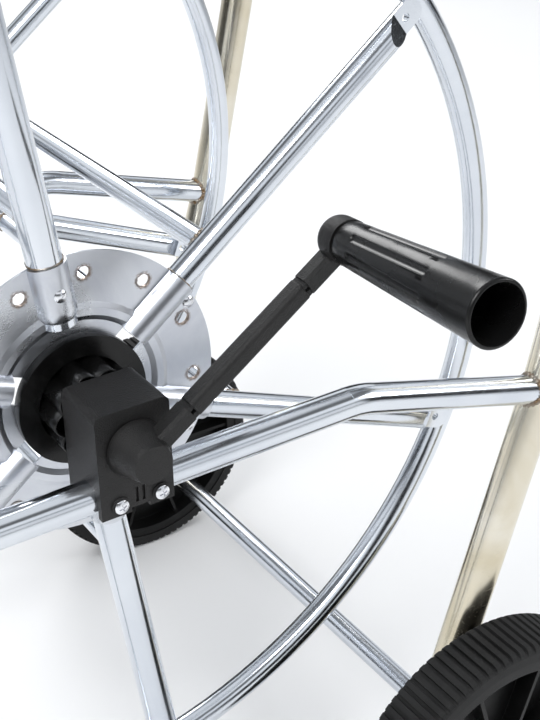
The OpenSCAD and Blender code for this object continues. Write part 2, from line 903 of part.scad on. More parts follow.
// Crank-side hub: journal in the near block, square drive for the crank.
module hub_front() {
    color("black") at_reel() difference() {
        union() {
            hub_flange(block_back - side_gap);
            outward() cylinder(r = journal_r, h = boss_back);
            translate([-drive_w / 2, -boss_back - drive_len, -drive_w / 2])
                cube([drive_w, drive_len + 1, drive_w]);
        }
        outward() cylinder(d = crank_screw_d, h = boss_back + drive_len + 1);
        y_bar(2 * crank_screw_head_r + 1, -crank_screw_seat, disc_r);
    }
}

// Water-side hub: hollow journal, outer spigot for the inlet, inner one for the outlet.
module hub_rear() {
    color("black") at_reel() rear_reel_side() difference() {
        union() {
            hub_flange(far_block_back - side_gap);
            outward() cylinder(r = journal_r, h = spigot_start);
            translate([0, -spigot_start, 0]) outward() difference() {
                cylinder(r = hub_spigot_r, h = spigot_len);
                translate([0, 0, spigot_len - 6]) difference() {
                    cylinder(r = hub_spigot_r + 1, h = 2.4);
                    cylinder(r = hub_spigot_r - 1.8, h = 2.4);
                }
            }
            y_bar(2 * hub_spigot_r, 0, inner_spigot_end);
        }
        y_bar(2 * water_r, -spigot_start - spigot_len - 1, inner_spigot_end + 1);
    }
}

// Screws from inside the drum that hold the hub flanges to the discs.
module hub_screw_set() {
    for (i = [0:2]) at_angle(40 + i * 120) translate([hub_screw_r, disc_face, 0]) {
        rotate([-90, 0, 0]) cylinder(r = 3.5, h = 2.4);
        outward() cylinder(d = hub_screw_d, h = disc_t + flange_t - 2.4);
    }
}

module hub_screws() {
    color("silver") at_reel() {
        hub_screw_set();
        rear_reel_side() hub_screw_set();
    }
}

// Plain nipple with a lip, along local x, from the body to its free end.
module nipple(root) {
    rotate([0, 90, 0]) {
        cylinder(r = nipple_r + 2.5, h = root);
        translate([0, 0, root]) cylinder(r = nipple_r - 1.5, h = 4);
        translate([0, 0, root + 4]) cylinder(r = nipple_r, h = nipple_len);
    }
}

// Elbow inside the drum that the hose is fastened to.
module hose_outlet() {
    start = inner_spigot_end - 14;
    color("black") at_reel() translate([0, reel_width, 0]) mirror([0, 1, 0])
        difference() {
            union() {
                y_bar(2 * elbow_body_r, start + 1, start + outlet_len);
                translate([0, outlet_leg_y, 0]) at_angle(spoke_angle + 30) nipple(nipple_root);
            }
            y_bar(2 * hub_spigot_r, start, inner_spigot_end);
            y_bar(2 * water_r, start, start + outlet_len - 4);
            translate([0, outlet_leg_y, 0]) at_angle(spoke_angle + 30)
                rotate([0, 90, 0]) cylinder(r = water_r - 1, h = nipple_root + nipple_len + 6);
        }
}

// ---- crank ----

// Chamfered square bar along the arm, from s0 to s1.
module arm_bar(s0, s1) {
    h = arm_w / 2;
    c = arm_chamfer;
    translate([s0, -arm_mid, 0]) rotate([90, 0, 90]) linear_extrude(s1 - s0) polygon([
        [-h, c - h], [c - h, -h], [h - c, -h], [h, c - h],
        [h, h - c], [h - c, h], [c - h, h], [-h, h - c]]);
}

// Split tenon with a shoulder neck, along the arm from s0.
module arm_tenon(s0, w, t, reach) {
    difference() {
        union() {
            translate([s0 - 1, -arm_mid - neck_w / 2, -neck_w / 2])
                cube([neck_gap + 1, neck_w, neck_w]);
            translate([s0 - 1, -arm_mid - t / 2, -w / 2]) cube([neck_gap + reach + 1, t, w]);
        }
        translate([s0 + 0.3, -arm_mid - neck_w, -neck_slot_w / 2])
            cube([neck_gap + reach, 2 * neck_w, neck_slot_w]);
    }
}

// Socket in an arm end for a tenon, along the arm from s0.
module arm_socket(s0, len) {
    translate([s0, -arm_mid - tenon_t / 2 - slip_gap, -tenon_w / 2 - slip_gap])
        cube([len, tenon_t + 2 * slip_gap, tenon_w + 2 * slip_gap]);
}

module crank_hub() {
    color("black") at_reel() difference() {
        union() {
            translate([0, -boss_back, 0]) outward()
                cylinder(r1 = boss_base_r, r2 = boss_nose_r, h = boss_h, $fn = 96);
            at_angle(arm_angle) arm_bar(0, root_bar_end);
            at_angle(arm_angle) arm_tenon(root_bar_end, tenon_w, tenon_t, tenon_len);
        }
        translate([-drive_w / 2 - slip_gap, -boss_back - drive_len - slip_gap,
            -drive_w / 2 - slip_gap])
            cube([drive_w + 2 * slip_gap, drive_len + slip_gap + 1, drive_w + 2 * slip_gap]);
        outward() cylinder(d = crank_screw_d, h = crank_screw_tip);
    }
}

module crank_arm() {
    color("black") at_reel() at_angle(arm_angle) difference() {
        arm_bar(arm_start, arm_end);
        arm_socket(arm_start - 1, tenon_len + 1.5);
        arm_socket(arm_end - tenon_len - 0.5, tenon_len + 1.5);
    }
}

// Elbow at the arm's end, with the spindle that the grip turns on.
module crank_elbow() {
    color("black") at_reel() difference() {
        union() {
            at_angle(arm_angle) {
                arm_bar(elbow_bar_start, crank_throw - 5);
                translate([2 * elbow_bar_start, 0, 0]) mirror([1, 0, 0])
                    arm_tenon(elbow_bar_start, tenon_w, tenon_t, tenon_len);
            }
            at_grip() {
                rotate_extrude() intersection() {
                    union() {
                        translate([0, elbow_round - elbow_back])
                            square([elbow_r, elbow_back + elbow_front - elbow_round]);
                        translate([elbow_r - elbow_round, elbow_round - elbow_back])
                            circle(r = elbow_round);
                        translate([0, -elbow_back]) square([elbow_r - elbow_round, elbow_round]);
                    }
                    translate([0, -elbow_back]) square([elbow_r, elbow_back + elbow_front]);
                }
                cylinder(r = spindle_r, h = spindle_end);
            }
        }
        at_grip() translate([0, 0, spindle_end - 16]) cylinder(d = 4, h = 17);
    }
}

// Screw from inside the drum that pulls the crank boss on to its square drive.
module crank_screw() {
    color("silver") at_reel() {
        y_bar(crank_screw_d, -crank_screw_tip, -crank_screw_seat + 1);
        y_bar(2 * crank_screw_head_r, -crank_screw_seat, -crank_screw_seat + 3);
    }
}

// Hand grip: flaring hollow cone with long flutes, free to turn on the spindle.
module grip() {
    span = grip_reach - grip_start;
    flare = (grip_mouth_r - grip_root_r) / span;
    tilt = atan(flare);
    cup_depth = grip_reach - grip_bore_end;
    color("black") at_reel() at_grip() difference() {
        union() {
            translate([0, 0, grip_start]) cylinder(r1 = grip_root_r, r2 = grip_mouth_r,
                h = span - 1, $fn = 96);
            translate([0, 0, grip_reach - 1.5]) rotate_extrude($fn = 96)
                translate([grip_mouth_r - 1.5, 0]) circle(r = 1.5);
        }
        translate([0, 0, grip_start - 1])
            cylinder(r = spindle_r + running_gap, h = span);
        translate([0, 0, grip_bore_end]) cylinder(r1 = grip_cup_r, r2 = grip_mouth_in,
            h = cup_depth);
        for (i = [0:flute_count - 1]) rotate([0, 0, i * 360 / flute_count])
            translate([grip_root_r + (flute_start - grip_start) * flare + flute_r - 1.1, 0,
                flute_start]) rotate([0, tilt, 0]) {
                cylinder(r = flute_r, h = flute_end - flute_start, $fn = 32);
                sphere(r = flute_r, $fn = 32);
                translate([0, 0, flute_end - flute_start]) sphere(r = flute_r, $fn = 32);
            }
    }
}

// Screw and washer that keep the grip on its spindle.
module grip_screw() {
    color("silver") at_reel() at_grip() translate([0, 0, spindle_end]) {
        cylinder(r = spindle_r + 2.5, h = 1.5);
        translate([0, 0, 1.5]) cylinder(r = 4, h = 2.5);
        translate([0, 0, -14]) cylinder(d = 4, h = 15);
    }
}

// ---- water inlet ----

// Seal ring in the groove of the outer spigot.
module inlet_seal() {
    color("dimgray") at_reel() translate([0, reel_width + spigot_start + spigot_len - 4.8, 0])
        rotate([90, 0, 0]) rotate_extrude() translate([hub_spigot_r - 0.95, 0]) circle(r = 0.85);
}

// Elbow that swivels on the hub, with a nipple for the supply hose.
module inlet_elbow() {
    color("black") at_reel() translate([0, reel_width, 0]) mirror([0, 1, 0])
        difference() {
            union() {
                translate([0, -elbow_body_start, 0]) outward()
                    cylinder(r = elbow_body_r, h = elbow_body_len);
                translate([0, -elbow_leg_y, 0]) at_angle(-90) nipple(nipple_root);
            }
            translate([0, -elbow_body_start + 1, 0]) outward()
                cylinder(r = hub_spigot_r + running_gap, h = spigot_len + 1.5);
            translate([0, -elbow_body_start, 0]) outward()
                cylinder(r = water_r, h = elbow_body_len - 4);
            translate([0, -elbow_leg_y, 0]) at_angle(-90) rotate([0, 90, 0])
                cylinder(r = water_r - 1, h = nipple_root + nipple_len + 6);
        }
}

side_tube_near();
side_tube_far();
front_foot();
foot_caps();
upright_near();
upright_far();
upright_caps();
push_handle();
handle_sleeve();
handle_bolts();
axle_tube();
axle_rod();
axle_washers();
axle_caps();
bearing_block_near();
bearing_block_far();
block_screws();
wheel_near();
tyre_near();
wheel_far();
tyre_far();
reel_disc_front();
reel_disc_rear();
rim_front();
rim_rear();
main_spokes_front();
main_spokes_rear();
thin_spokes_front();
thin_spokes_rear();
drum_bars();
disc_rivets();
hub_front();
hub_rear();
hub_screws();
hose_outlet();
crank_hub();
crank_arm();
crank_elbow();
crank_screw();
grip();
grip_screw();
inlet_seal();
inlet_elbow();
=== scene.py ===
"""Looks of the garden hose reel cart: finishes, welds, burrs, tyres, sleeve, lights and camera."""

import json
import logging
import math
from collections.abc import Callable, Iterable, Sequence
from dataclasses import dataclass, field
from enum import Enum

import bmesh
import bpy
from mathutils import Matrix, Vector

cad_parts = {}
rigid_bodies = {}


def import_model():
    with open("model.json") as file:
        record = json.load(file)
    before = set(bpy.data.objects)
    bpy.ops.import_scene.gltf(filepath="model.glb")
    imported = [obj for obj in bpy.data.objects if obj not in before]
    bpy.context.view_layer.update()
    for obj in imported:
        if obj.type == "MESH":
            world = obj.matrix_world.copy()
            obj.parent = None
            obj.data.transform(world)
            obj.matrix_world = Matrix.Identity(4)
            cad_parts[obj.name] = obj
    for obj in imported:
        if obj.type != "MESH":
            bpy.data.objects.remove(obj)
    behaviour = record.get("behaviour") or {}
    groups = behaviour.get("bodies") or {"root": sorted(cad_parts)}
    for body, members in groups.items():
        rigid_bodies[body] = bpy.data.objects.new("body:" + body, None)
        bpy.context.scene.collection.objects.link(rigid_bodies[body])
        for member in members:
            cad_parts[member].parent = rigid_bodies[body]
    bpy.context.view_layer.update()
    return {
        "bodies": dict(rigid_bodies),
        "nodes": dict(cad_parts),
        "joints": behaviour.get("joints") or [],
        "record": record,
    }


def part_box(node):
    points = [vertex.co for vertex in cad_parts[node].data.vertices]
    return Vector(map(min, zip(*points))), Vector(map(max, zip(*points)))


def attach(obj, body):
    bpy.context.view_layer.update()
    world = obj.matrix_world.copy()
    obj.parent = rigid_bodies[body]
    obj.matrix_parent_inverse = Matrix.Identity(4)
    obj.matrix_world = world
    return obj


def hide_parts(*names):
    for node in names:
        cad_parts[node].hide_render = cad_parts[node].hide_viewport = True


LOG = logging.getLogger("hose_reel_cart")
MM = 0.001
Colour = tuple[float, float, float, float]


class Body(str, Enum):
    """The moving bodies that pieces ride on."""

    FRAME = "frame"
    REEL = "reel"
    GRIP = "hand_grip"
    NEAR_WHEEL = "near_wheel"
    FAR_WHEEL = "far_wheel"
    INLET = "inlet"


class Coat(Enum):
    """The plated finishes, from the brightest tube to the dull pressed sheet."""

    BRIGHT_TUBE = "zinc_tube"
    WARM_TUBE = "zinc_warm"
    PRESSED_SHEET = "zinc_disc"
    FASTENER = "screw_steel"


# ---- small helpers ----


class Graph:
    """A thin wrapper that adds and joins nodes in one node tree."""

    def __init__(self, tree: bpy.types.NodeTree) -> None:
        """Keep the tree that nodes are added to."""
        self.tree = tree

    def add(
        self, kind: str, inputs: dict[str | int, object] | None = None, **settings: object
    ) -> bpy.types.Node:
        """Add a node.

        Args:
            kind: The node's type name without its ShaderNode prefix.
            inputs: Values or sockets for the node's inputs, by name or index.
            **settings: Attributes set on the node before its inputs.

        Returns:
            The new node.
        """
        node = self.tree.nodes.new(kind if kind.startswith("Node") else "ShaderNode" + kind)
        for key, value in settings.items():
            setattr(node, key, value)
        for key, value in (inputs or {}).items():
            self.feed(node.inputs[key], value)
        return node

    def feed(self, socket: bpy.types.NodeSocket, value: object) -> None:
        """Link a socket to an input, or set the input's own value."""
        if isinstance(value, bpy.types.NodeSocket):
            self.tree.links.new(value, socket)
        else:
            socket.default_value = value

    def ramp(self, fac: bpy.types.NodeSocket, stops: Sequence[tuple[float, float]]) -> bpy.types.NodeSocket:
        """A grey ramp.

        Args:
            fac: The value that is looked up.
            stops: Pairs of place and grey level.

        Returns:
            The ramp's colour socket.
        """
        node = self.add("ValToRGB", {"Fac": fac})
        elements = node.color_ramp.elements
        while len(elements) < len(stops):
            elements.new(0.5)
        for element, (place, level) in zip(elements, stops, strict=True):
            element.position = place
            element.color = (level, level, level, 1.0)
        return node.outputs["Color"]

    def mix(self, fac: object, a: object, b: object, blend: str = "MIX") -> bpy.types.NodeSocket:
        """Mix two colours and return the result's socket."""
        node = self.add("Mix", data_type="RGBA", blend_type=blend)
        self.feed(node.inputs[0], fac)
        self.feed(node.inputs[6], a)
        self.feed(node.inputs[7], b)
        return node.outputs[2]

    def math(self, operation: str, a: object, b: object = 0.0) -> bpy.types.NodeSocket:
        """Apply a math operation to two values and return its socket."""
        node = self.add("Math", operation=operation)
        self.feed(node.inputs[0], a)
        self.feed(node.inputs[1], b)
        return node.outputs[0]


def make_group(
    name: str, inputs: dict[str, float], outputs: Sequence[str]
) -> tuple[bpy.types.NodeTree, Graph, bpy.types.Node, bpy.types.Node]:
    """Start a shader node group.

    Args:
        name: The group's name.
        inputs: Float inputs and their usual values.
        outputs: Names of the float outputs.

    Returns:
        The tree, its graph, its input node and its output node.
    """
    tree = bpy.data.node_groups.new(name, "ShaderNodeTree")
    for key, value in inputs.items():
        tree.interface.new_socket(key, in_out="INPUT", socket_type="NodeSocketFloat").default_value = value
    for key in outputs:
        tree.interface.new_socket(key, in_out="OUTPUT", socket_type="NodeSocketFloat")
    graph = Graph(tree)
    return tree, graph, graph.add("NodeGroupInput"), graph.add("NodeGroupOutput")


def grain_group() -> bpy.types.NodeTree:
    """Fine moulded grain: a height, and a mask that varies slowly across the surface."""
    tree, g, source, sink = make_group(
        "moulded_grain", {"Scale": 1500.0, "Patch Scale": 30.0}, ("Height", "Patch"))
    place = g.add("TexCoord").outputs["Object"]
    fine = g.add("TexNoise", {
        "Vector": place, "Scale": source.outputs["Scale"], "Detail": 3.0, "Roughness": 0.65})
    pits = g.add("TexVoronoi", {"Vector": place, "Scale": source.outputs["Scale"]}, feature="F1")
    height = g.math("ADD", fine.outputs["Fac"], g.math("MULTIPLY", pits.outputs["Distance"], 0.5))
    patch = g.add("TexNoise", {"Vector": place, "Scale": source.outputs["Patch Scale"], "Detail": 4.0})
    g.feed(sink.inputs["Height"], height)
    g.feed(sink.inputs["Patch"], patch.outputs["Fac"])
    return tree


def plating_group() -> bpy.types.NodeTree:
    """Zinc plating: cloudy stain, fine speckle and faint scratches, each from 0 to 1."""
    tree, g, source, sink = make_group(
        "zinc_plating", {"Cloud Scale": 9.0, "Speckle Scale": 900.0}, ("Cloud", "Speckle", "Scratch"))
    place = g.add("TexCoord").outputs["Object"]
    cloud = g.add("TexNoise", {
        "Vector": place, "Scale": source.outputs["Cloud Scale"],
        "Detail": 5.0, "Roughness": 0.6, "Distortion": 0.8})
    speckle = g.add("TexNoise", {"Vector": place, "Scale": source.outputs["Speckle Scale"], "Detail": 2.0})
    turned = g.add("Mapping", {"Vector": place, "Rotation": (0.3, 0.9, 0.4), "Scale": (30.0, 900.0, 900.0)})
    lines = g.add("TexNoise", {"Vector": turned.outputs["Vector"], "Scale": 1.0, "Detail": 2.0})
    g.feed(sink.inputs["Cloud"], cloud.outputs["Fac"])
    g.feed(sink.inputs["Speckle"], speckle.outputs["Fac"])
    g.feed(sink.inputs["Scratch"], g.ramp(lines.outputs["Fac"], ((0.0, 0.0), (0.62, 0.0), (0.72, 1.0))))
    return tree


# ---- finishes ----


def new_material(name: str) -> tuple[bpy.types.Material, Graph, bpy.types.Node]:
    """Make a node material and return it with its graph and its Principled node."""
    material = bpy.data.materials.new(name)
    material.use_nodes = True
    return material, Graph(material.node_tree), material.node_tree.nodes["Principled BSDF"]


@dataclass(frozen=True)
class PlatedFinish:
    """Zinc plating over steel."""

    coat: Coat
    base: Colour
    stain: Colour
    roughness: float
    cloud_scale: float = 9.0
    stain_share: float = 0.5
    bump: float = 0.006
    rust: Colour = (0.20, 0.12, 0.06, 1.0)

    def build(
        self, plating: bpy.types.NodeTree, holes: bpy.types.NodeTree | None = None
    ) -> bpy.types.Material:
        """Build the material.

        Args:
            plating: The shared plating group.
            holes: A group that masks the stained edges of holes, or None.

        Returns:
            The finished material.
        """
        material, g, shader = new_material(self.coat.value)
        wear = g.add("Group", node_tree=plating)
        wear.inputs["Cloud Scale"].default_value = self.cloud_scale
        cloud = g.ramp(wear.outputs["Cloud"], ((0.35, 0.0), (0.7, 1.0)))
        colour = g.mix(g.math("MULTIPLY", cloud, self.stain_share), self.base, self.stain)
        if holes:
            edge = g.add("Group", node_tree=holes)
            colour = g.mix(g.math("MULTIPLY", edge.outputs["Mask"], 0.75), colour, self.rust)
        g.feed(shader.inputs["Base Color"], colour)
        rough = g.math("ADD", g.math("MULTIPLY", cloud, 0.10), self.roughness)
        rough = g.math("ADD", rough, g.math("MULTIPLY", wear.outputs["Scratch"], 0.08))
        g.feed(shader.inputs["Roughness"], rough)
        shader.inputs["Metallic"].default_value = 1.0
        bump = g.add("Bump", {"Height": wear.outputs["Speckle"], "Strength": self.bump, "Distance": 0.001})
        g.feed(shader.inputs["Normal"], bump.outputs["Normal"])
        return material


@dataclass(frozen=True)
class MouldedFinish:
    """Black moulded plastic or rubber."""

    slot: str
    base: Colour
    bloom: Colour
    roughness: float
    grain_scale: float
    bump: float
    specular: float = 0.5

    def build(self, grain: bpy.types.NodeTree) -> bpy.types.Material:
        """Build the material.

        Args:
            grain: The shared grain group.

        Returns:
            The finished material.
        """
        material, g, shader = new_material(self.slot)
        surface = g.add("Group", node_tree=grain)
        surface.inputs["Scale"].default_value = self.grain_scale
        patch = g.ramp(surface.outputs["Patch"], ((0.35, 0.0), (0.7, 1.0)))
        g.feed(shader.inputs["Base Color"], g.mix(patch, self.base, self.bloom))
        g.feed(shader.inputs["Roughness"], g.math("ADD", g.math("MULTIPLY", patch, 0.08), self.roughness))
        shader.inputs["Specular IOR Level"].default_value = self.specular
        bump = g.add("Bump", {"Height": surface.outputs["Height"], "Strength": self.bump, "Distance": 0.0004})
        g.feed(shader.inputs["Normal"], bump.outputs["Normal"])
        return material


def hole_stain_group(reel: Vector, circle: float, first_angle: float, holes: int) -> bpy.types.NodeTree:
    """A mask that is 1 in a thin ring round each hole of the discs.

    Args:
        reel: A point on the reel's axis.
        circle: Radius of the circle that the holes lie on.
        first_angle: Angle of one hole in degrees.
        holes: Number of holes.

    Returns:
        The group.
    """
    tree, g, source, sink = make_group("hole_stain", {"Inner": 3.6 * MM, "Outer": 5.6 * MM}, ("Mask",))
    coordinates = g.add("TexCoord").outputs["Object"]
    place = g.add("SeparateXYZ", {0: coordinates})
    x = g.math("SUBTRACT", place.outputs["X"], reel.x)
    z = g.math("SUBTRACT", place.outputs["Z"], reel.z)
    radius = g.math("SQRT", g.math("ADD", g.math("MULTIPLY", x, x), g.math("MULTIPLY", z, z)))
    step = 2 * math.pi / holes
    turn = g.math("SUBTRACT", g.math("ARCTAN2", z, x), math.radians(first_angle) - 4 * math.pi)
    fold = g.math("PINGPONG", turn, step / 2)
    along = g.math("SUBTRACT", g.math("MULTIPLY", radius, g.math("COSINE", fold)), circle)
    across = g.math("MULTIPLY", radius, g.math("SINE", fold))
    away = g.math("SQRT", g.math("ADD", g.math("MULTIPLY", along, along), g.math("MULTIPLY", across, across)))
    ragged = g.add("TexNoise", {"Vector": coordinates, "Scale": 700.0, "Detail": 3.0})
    away = g.math("ADD", away, g.math("MULTIPLY", g.math("SUBTRACT", ragged.outputs["Fac"], 0.5), 3 * MM))
    ring = g.add("MapRange", {"Value": away, "To Min": 1.0, "To Max": 0.0})
    g.feed(ring.inputs["From Min"], source.outputs["Inner"])
    g.feed(ring.inputs["From Max"], source.outputs["Outer"])
    g.feed(sink.inputs["Mask"], ring.outputs["Result"])
    return tree


@dataclass(frozen=True)
class WeldFinish:
    """Plated weld metal with a brown heat tint."""

    base: Colour = (0.34, 0.32, 0.29, 1.0)
    tint: Colour = (0.22, 0.14, 0.07, 1.0)

    def build(self, plating: bpy.types.NodeTree) -> bpy.types.Material:
        """Build the material from the shared plating group and return it."""
        material, g, shader = new_material("weld_metal")
        wear = g.add("Group", node_tree=plating)
        wear.inputs["Cloud Scale"].default_value = 120.0
        cloud = g.ramp(wear.outputs["Cloud"], ((0.4, 0.0), (0.62, 1.0)))
        g.feed(shader.inputs["Base Color"], g.mix(cloud, self.base, self.tint))
        shader.inputs["Metallic"].default_value = 1.0
        g.feed(shader.inputs["Roughness"], g.math("ADD", g.math("MULTIPLY", cloud, 0.2), 0.3))
        bump = g.add("Bump", {"Height": wear.outputs["Speckle"], "Strength": 0.2, "Distance": 0.0006})
        g.feed(shader.inputs["Normal"], bump.outputs["Normal"])
        return material


PLATED = (
    PlatedFinish(Coat.BRIGHT_TUBE, (0.70, 0.73, 0.77, 1.0), (0.50, 0.54, 0.61, 1.0), 0.12),
    PlatedFinish(Coat.WARM_TUBE, (0.76, 0.73, 0.65, 1.0), (0.58, 0.51, 0.36, 1.0), 0.13, stain_share=0.8),
    PlatedFinish(Coat.PRESSED_SHEET, (0.62, 0.64, 0.67, 1.0), (0.48, 0.50, 0.56, 1.0), 0.25, 22.0, 0.7, 0.05),
    PlatedFinish(Coat.FASTENER, (0.86, 0.87, 0.90, 1.0), (0.62, 0.63, 0.66, 1.0), 0.18, 200.0, 0.6, 0.03),
)
MOULDED = (
    MouldedFinish("textured_black", (0.008, 0.008, 0.008, 1.0), (0.016, 0.015, 0.015, 1.0),
                  0.40, 1300.0, 0.75, 0.32),
    MouldedFinish("satin_black", (0.003, 0.003, 0.003, 1.0), (0.006, 0.006, 0.006, 1.0),
                  0.24, 900.0, 0.06, 0.30),
    MouldedFinish("wheel_black", (0.003, 0.003, 0.003, 1.0), (0.006, 0.006, 0.006, 1.0),
                  0.36, 1000.0, 0.15, 0.22),
    MouldedFinish("tyre_rubber", (0.008, 0.008, 0.008, 1.0), (0.018, 0.018, 0.018, 1.0),
                  0.60, 1400.0, 0.30, 0.25),
    MouldedFinish("soft_rubber", (0.010, 0.010, 0.010, 1.0), (0.018, 0.018, 0.018, 1.0),
                  0.70, 2200.0, 0.45, 0.22),
)


class PaintShop:
    """All finishes, built once and given to nodes and pieces by slot."""

    def __init__(self, reel: Vector) -> None:
        """Build every finish.

        Args:
            reel: A point on the reel's axis.
        """
        plating, grain = plating_group(), grain_group()
        holes = hole_stain_group(reel, 70.7 * MM, 113.8, 12)
        self.finishes: dict[str, bpy.types.Material] = {
            f.coat.value: f.build(plating, holes if f.coat is Coat.PRESSED_SHEET else None) for f in PLATED}
        self.finishes |= {f.slot: f.build(grain) for f in MOULDED}
        self.weld = WeldFinish().build(plating)

    def dress_frame(self, frame: dict) -> None:
        """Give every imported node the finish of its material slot."""
        slots = {s["node"]: s["material_slot"] for s in frame["record"]["subparts"]}
        for name, node in frame["nodes"].items():
            for index in range(max(1, len(node.material_slots))):
                if not node.material_slots:
                    node.data.materials.append(self.finishes[slots[name]])
                else:
                    node.material_slots[index].material = self.finishes[slots[name]]

    def dress(self, piece: bpy.types.Object, slot: str) -> None:
        """Give a new piece the finish of a slot."""
        piece.data.materials.append(self.finishes[slot])


# ---- mesh helpers ----


def mesh_object(
    name: str, build: Callable[[bmesh.types.BMesh], None], smooth: bool = True
) -> bpy.types.Object:
    """Make an object from a function that fills a bmesh.

    Args:
        name: The object's name.
        build: Fills the empty bmesh, in the row frame.
        smooth: Whether faces are shaded smooth.

    Returns:
        The linked object.
    """
    work = bmesh.new()
    build(work)
    bmesh.ops.recalc_face_normals(work, faces=work.faces)
    for face in work.faces:
        face.smooth = smooth
    mesh = bpy.data.meshes.new(name)
    work.to_mesh(mesh)
    work.free()
    piece = bpy.data.objects.new(name, mesh)
    bpy.context.scene.collection.objects.link(piece)
    return piece


def skin_loops(work: bmesh.types.BMesh, loops: Iterable[Sequence[Vector]], closed: bool) -> None:
    """Join rings of points into a skin.

    Args:
        work: The bmesh that is filled.
        loops: Rings with the same number of points each.
        closed: Whether the last ring joins the first; if not, the ends are capped.
    """
    rings = [[work.verts.new(p) for p in loop] for loop in loops]
    count = len(rings[0])
    pairs = list(zip(rings, rings[1:] + rings[:1] if closed else rings[1:], strict=False))
    for a, b in pairs:
        for i in range(count):
            j = (i + 1) % count
            work.faces.new((a[i], a[j], b[j], b[i]))
    if not closed:
        work.faces.new(rings[0])
        work.faces.new(list(reversed(rings[-1])))


def bead_along(
    work: bmesh.types.BMesh, path: Sequence[Vector], radius: float, ripple: float, waves: int
) -> None:
    """Lay a rippled weld bead along a closed path.

    Args:
        work: The bmesh that is filled.
        path: Points of the closed path.
        radius: The bead's mean radius.
        ripple: How much the radius swells and shrinks.
        waves: How many ripples lie round the path.
    """
    sides, loops = 8, []
    count = len(path)
    for i, point in enumerate(path):
        along = (path[(i + 1) % count] - path[i - 1]).normalized()
        side = along.orthogonal() if i == 0 else (side - along * side.dot(along))
        side = side.normalized()
        other = along.cross(side)
        swell = radius + ripple * math.sin(2 * math.pi * waves * i / count) + 0.4 * ripple * math.sin(5.0 * i)
        loops.append([point + swell * (math.cos(t) * side + math.sin(t) * other)
                      for t in (2 * math.pi * k / sides for k in range(sides))])
    skin_loops(work, loops, closed=True)


def saddle_path(
    foot: Vector, way: Vector, radius: float, axis_point: Vector, axis: Vector, wall: float, steps: int = 96
) -> list[Vector]:
    """The closed curve where a round tube meets the outside of another.

    Args:
        foot: A point on the joining tube's axis, outside the other tube.
        way: Unit direction of the joining tube, towards the other tube.
        radius: Radius of the joining tube.
        axis_point: A point on the other tube's axis.
        axis: Unit direction of the other tube.
        wall: Outside radius of the other tube.
        steps: Number of points on the curve.

    Returns:
        The curve's points.
    """
    side = way.orthogonal().normalized()
    other = way.cross(side)
    flat = way - axis * way.dot(axis)
    points = []
    for k in range(steps):
        t = 2 * math.pi * k / steps
        start = foot + radius * (math.cos(t) * side + math.sin(t) * other)
        gap = start - axis_point
        gap -= axis * gap.dot(axis)
        a, b, c = flat.dot(flat), 2 * gap.dot(flat), gap.dot(gap) - wall * wall
        root = math.sqrt(max(b * b - 4 * a * c, 0.0))
        points.append(start + way * ((-b - root) / (2 * a)))
    return points


def soften(node: bpy.types.Object, width: float, segments: int = 2, angle: float = 32.0) -> None:
    """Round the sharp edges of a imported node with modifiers.

    Args:
        node: The node's object.
        width: Width of the rounding, in metres.
        segments: Steps across the rounding.
        angle: Edges sharper than this, in degrees, are rounded.
    """
    weld = node.modifiers.new("weld", "WELD")
    weld.merge_threshold = 1e-6
    bevel = node.modifiers.new("edge", "BEVEL")
    bevel.width = width
    bevel.segments = segments
    bevel.limit_method = "ANGLE"
    bevel.angle_limit = math.radians(angle)
    bevel.harden_normals = False
    bevel.use_clamp_overlap = True


# ---- sub-assemblies ----


@dataclass
class Landmarks:
    """Places of the cart's main axes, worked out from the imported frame."""

    frame: dict
    reel: Vector = field(init=False)

    def __post_init__(self) -> None:
        """Read the joints' places."""
        places = {j["name"]: Vector(j["pos_m"]) for j in self.frame["joints"]}
        self.reel = places["reel_spin"]

    def middle(self, node: str) -> Vector:
        """The middle of a node's box."""
        low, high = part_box(node)
        return (low + high) / 2


@dataclass
class RibbedTyre:
    """A tyre with ribs across its tread."""

    node: str
    body: Body
    ribs: int = 96
    groove: float = 2.4 * MM
    shoulder: float = 5.0 * MM
    rib_share: float = 0.58

    def build(self, shop: PaintShop) -> bpy.types.Object:
        """Build the tyre in place of its plain node.

        Args:
            shop: The finishes.

        Returns:
            The tyre.
        """
        low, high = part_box(self.node)
        centre, radius, half = (low + high) / 2, (high.z - low.z) / 2, (high.y - low.y) / 2
        inner = radius - 12 * MM
        edge = radius - self.shoulder

        def section(depth: float) -> list[tuple[float, float]]:
            """Radius and side offset round the tyre's section, with the tread sunk by depth."""
            arc = [(edge + (self.shoulder - depth) * math.sin(a),
                    half - self.shoulder + self.shoulder * math.cos(a))
                   for a in (math.radians(d) for d in (0, 22, 45, 68, 90))]
            upper = [(r, y) for r, y in arc]
            lower = [(r, -y) for r, y in reversed(arc)]
            return [(inner, half), *upper, *lower, (inner, -half)]

        def fill(work: bmesh.types.BMesh) -> None:
            """Fill the bmesh with the tyre's rings."""
            loops = []
            pitch = 2 * math.pi / self.ribs
            lean = 0.1 * (1 - self.rib_share)
            for i in range(self.ribs):
                marks = ((0.0, 0.0), (self.rib_share, 0.0),
                         (self.rib_share + lean, self.groove), (1 - lean, self.groove))
                for share, depth in marks:
                    a = pitch * (i + share)
                    loops.append([centre + Vector((r * math.cos(a), y, r * math.sin(a)))
                                  for r, y in section(depth)])
            skin_loops(work, loops, closed=True)

        piece = mesh_object(f"ribbed_{self.node}", fill, smooth=False)
        shop.dress(piece, "tyre_rubber")
        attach(piece, self.body.value)
        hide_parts(self.node)
        return piece


